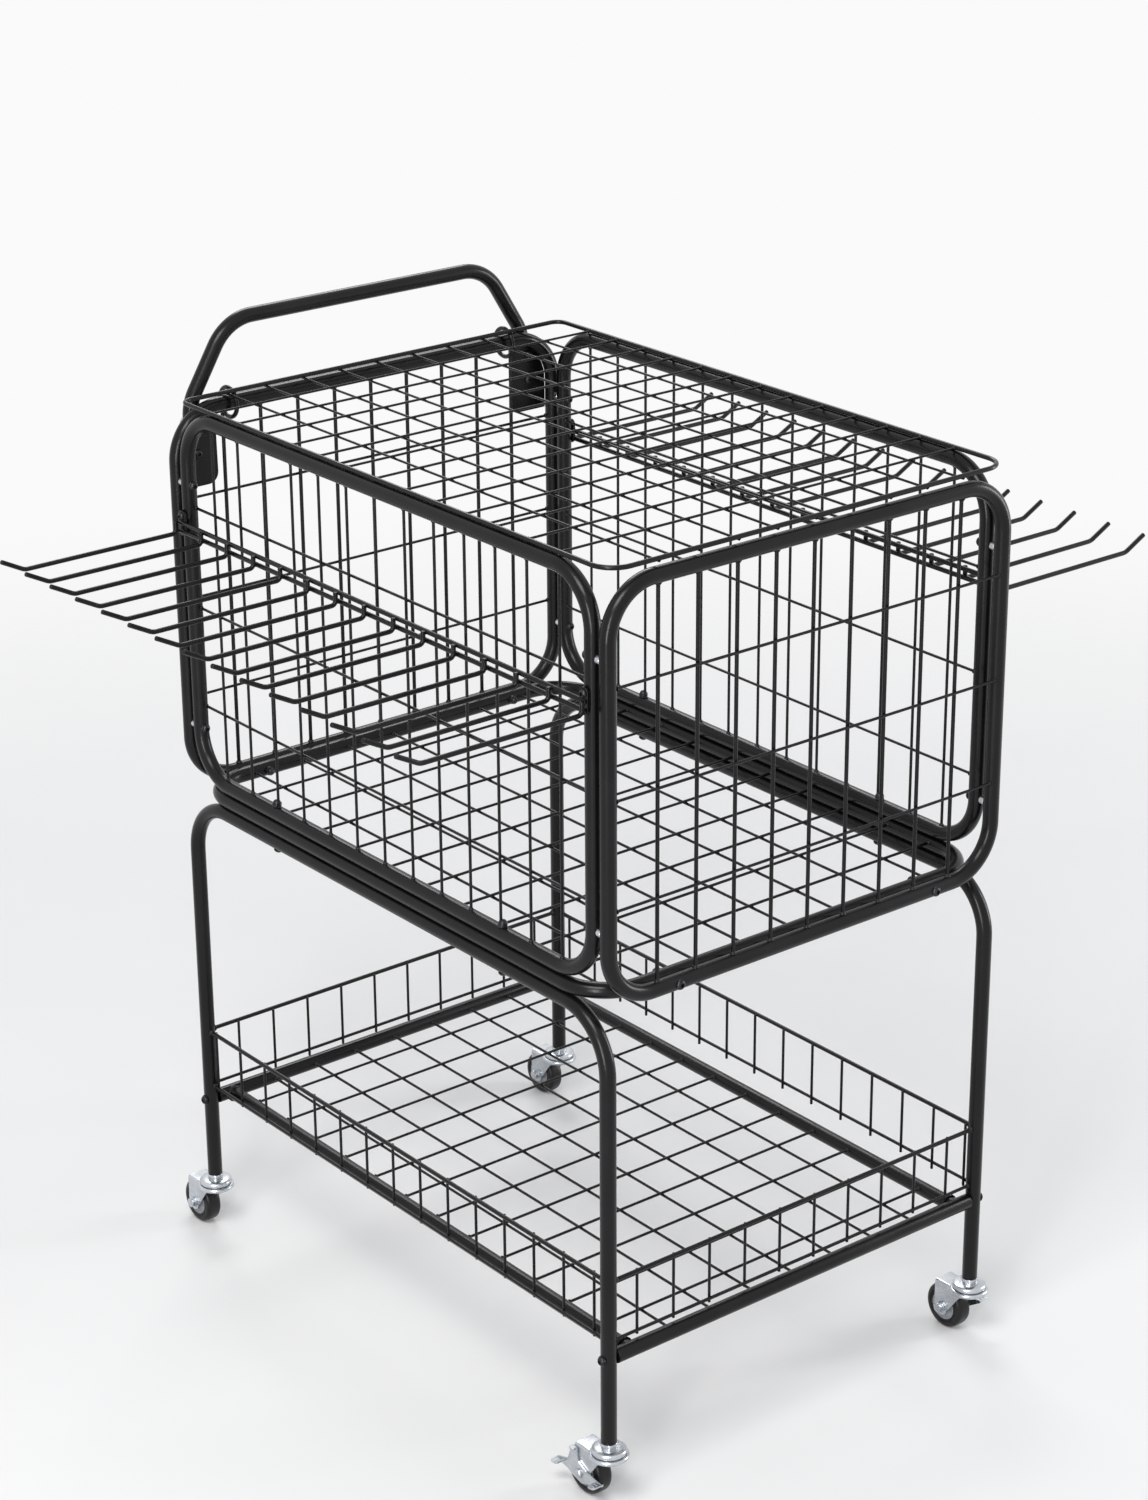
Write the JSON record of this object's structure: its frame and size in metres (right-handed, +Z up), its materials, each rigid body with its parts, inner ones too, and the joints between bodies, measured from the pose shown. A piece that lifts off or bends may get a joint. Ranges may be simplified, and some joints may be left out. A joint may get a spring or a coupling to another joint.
{
  "type": "wheeled ball cart",
  "caption": "Wire basket cart with a hinged wire lid, a lower tray, side hook racks, a push handle and swivel casters, two of them braked.",
  "frame": {"origin": "on the floor, at the middle of the cart's overall extents", "axes": "+Z up, +Y towards the push handle, +X towards the right-hand hook rack seen from the front"},
  "size_m": [0.9322, 0.7682, 1.0373],
  "materials": {
    "coat": "satin black powder coat",
    "zinc": "bright zinc plate",
    "tyre": "matte",
    "hub": "matte"
  },
  "bodies": {
    "cart": {"leg_frame_left": "coat", "leg_frame_right": "coat", "tray_floor": "coat", "tray_wall_left": "coat", "tray_wall_right": "coat", "tray_wall_front": "coat", "tray_wall_rear": "coat", "basket_base": "coat", "end_panel_front": "coat", "end_panel_rear": "coat", "side_panel_left": "coat", "side_panel_right": "coat", "hook_rack_left": "coat", "hook_rack_right": "coat", "handle": "coat", "handle_plate_left": "coat", "handle_plate_right": "coat", "handle_bolt_left_upper": "zinc", "handle_bolt_left_lower": "zinc", "handle_bolt_right_upper": "zinc", "handle_bolt_right_lower": "zinc", "tray_bolt_front_left": "zinc", "tray_bolt_front_right": "zinc", "tray_bolt_rear_left": "zinc", "tray_bolt_rear_right": "zinc", "caster_stem_front_left": "zinc", "caster_stem_front_right": "zinc", "caster_stem_rear_left": "zinc", "caster_stem_rear_right": "zinc"},
    "lid": {"lid": "coat", "lid_ring_left": "coat", "lid_ring_right": "coat"},
    "fork_front_left": {"caster_fork_front_left": "zinc", "axle_front_left": "zinc"},
    "wheel_front_left": {"tyre_front_left": "tyre", "hub_front_left": "hub"},
    "fork_front_right": {"caster_fork_front_right": "zinc", "axle_front_right": "zinc"},
    "wheel_front_right": {"tyre_front_right": "tyre", "hub_front_right": "hub"},
    "fork_rear_left": {"caster_fork_rear_left": "zinc", "axle_rear_left": "zinc"},
    "wheel_rear_left": {"tyre_rear_left": "tyre", "hub_rear_left": "hub"},
    "fork_rear_right": {"caster_fork_rear_right": "zinc", "axle_rear_right": "zinc"},
    "wheel_rear_right": {"tyre_rear_right": "tyre", "hub_rear_right": "hub"},
    "lever_front_left": {"brake_lever_front_left": "zinc"},
    "lever_front_right": {"brake_lever_front_right": "zinc"}
  },
  "joints": [
    {"name": "lid_hinge", "type": "hinge", "parent": "cart", "child": "lid", "pos_m": [0, 0.3318, 0.9474], "axis": [-1, 0, 0], "range_deg": [0, 54]},
    {"name": "swivel_front_left", "type": "hinge", "parent": "cart", "child": "fork_front_left", "pos_m": [-0.245, -0.3639, 0.056], "axis": [0, 0, 1], "continuous": true},
    {"name": "spin_front_left", "type": "hinge", "parent": "fork_front_left", "child": "wheel_front_left", "pos_m": [-0.245, -0.3349, 0.025], "axis": [1, 0, 0], "continuous": true},
    {"name": "swivel_front_right", "type": "hinge", "parent": "cart", "child": "fork_front_right", "pos_m": [0.245, -0.3639, 0.056], "axis": [0, 0, 1], "continuous": true},
    {"name": "spin_front_right", "type": "hinge", "parent": "fork_front_right", "child": "wheel_front_right", "pos_m": [0.245, -0.3349, 0.025], "axis": [1, 0, 0], "continuous": true},
    {"name": "swivel_rear_left", "type": "hinge", "parent": "cart", "child": "fork_rear_left", "pos_m": [-0.245, 0.3301, 0.056], "axis": [0, 0, 1], "continuous": true},
    {"name": "spin_rear_left", "type": "hinge", "parent": "fork_rear_left", "child": "wheel_rear_left", "pos_m": [-0.245, 0.3591, 0.025], "axis": [1, 0, 0], "continuous": true},
    {"name": "swivel_rear_right", "type": "hinge", "parent": "cart", "child": "fork_rear_right", "pos_m": [0.245, 0.3301, 0.056], "axis": [0, 0, 1], "continuous": true},
    {"name": "spin_rear_right", "type": "hinge", "parent": "fork_rear_right", "child": "wheel_rear_right", "pos_m": [0.245, 0.3591, 0.025], "axis": [1, 0, 0], "continuous": true},
    {"name": "brake_front_left", "type": "hinge", "parent": "fork_front_left", "child": "lever_front_left", "pos_m": [-0.245, -0.3349, 0.025], "axis": [1, 0, 0], "range_deg": [-14, 0]},
    {"name": "brake_front_right", "type": "hinge", "parent": "fork_front_right", "child": "lever_front_right", "pos_m": [0.245, -0.3349, 0.025], "axis": [1, 0, 0], "range_deg": [0, 14]}
  ]
}
